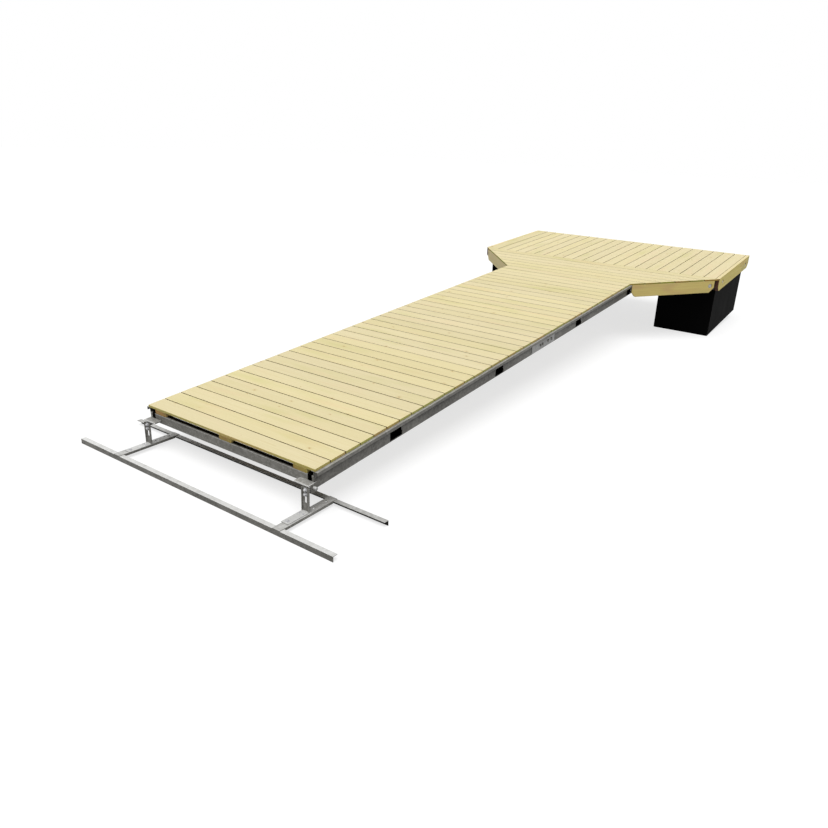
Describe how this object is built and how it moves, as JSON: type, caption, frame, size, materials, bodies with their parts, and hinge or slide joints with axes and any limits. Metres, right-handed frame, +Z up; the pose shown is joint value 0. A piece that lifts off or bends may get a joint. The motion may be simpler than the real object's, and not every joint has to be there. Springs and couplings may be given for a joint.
{
  "type": "floating jetty with a timber deck",
  "caption": "Timber-decked floating jetty: a steel walkway hinged to a shore frame, widening to a head on two floats.",
  "frame": {"origin": "on the ground under the middle of the whole part's length and width", "axes": "+X from the shore frame towards the head, +Y to the left, +Z up"},
  "size_m": [8.6922, 3.412, 0.9157],
  "materials": {
    "decking": "sawn pine boards, untreated",
    "edge_timber": "planed pine, impregnated",
    "galvanised_steel": "hot-dip galvanised, dull",
    "float_plastic": "black moulded polyethylene, matt"
  },
  "bodies": {
    "shore_frame": {"base_bar_left": "galvanised_steel", "base_bar_right": "galvanised_steel", "foot_plate_left": "galvanised_steel", "foot_plate_right": "galvanised_steel", "front_rail": "galvanised_steel", "hinge_bolt_left": "galvanised_steel", "hinge_bolt_right": "galvanised_steel", "hinge_lug_left": "galvanised_steel", "hinge_lug_right": "galvanised_steel", "leg_left": "galvanised_steel", "leg_right": "galvanised_steel", "rear_rail": "galvanised_steel"},
    "jetty": {"angled_fascia_left": "edge_timber", "angled_fascia_right": "edge_timber", "back_fascia": "edge_timber", "far_battens": "edge_timber", "far_cross_beams": "galvanised_steel", "far_deck": "decking", "far_head_end_beam": "galvanised_steel", "far_shore_end_beam": "galvanised_steel", "far_side_beam_left": "galvanised_steel", "far_side_beam_right": "galvanised_steel", "float_left": "float_plastic", "float_right": "float_plastic", "head_back_bearer": "galvanised_steel", "head_deck": "decking", "head_middle_bearers": "galvanised_steel", "head_shore_bearer": "galvanised_steel", "hinge_bracket_left": "galvanised_steel", "hinge_bracket_right": "galvanised_steel", "near_battens": "edge_timber", "near_cross_beams": "galvanised_steel", "near_deck": "decking", "near_head_end_beam": "galvanised_steel", "near_shore_end_beam": "galvanised_steel", "near_side_beam_left": "galvanised_steel", "near_side_beam_right": "galvanised_steel", "outriggers_left": "galvanised_steel", "outriggers_right": "galvanised_steel", "side_fascia_left": "edge_timber", "side_fascia_right": "edge_timber", "splice_plate_left": "galvanised_steel", "splice_plate_right": "galvanised_steel", "taper_deck": "decking"}
  },
  "joints": [
    {"name": "shore_hinge", "type": "hinge", "parent": "shore_frame", "child": "jetty", "pos_m": [-4.02811, 0, 0.211], "axis": [0, -1, 0], "range_deg": [-16, 8]}
  ]
}
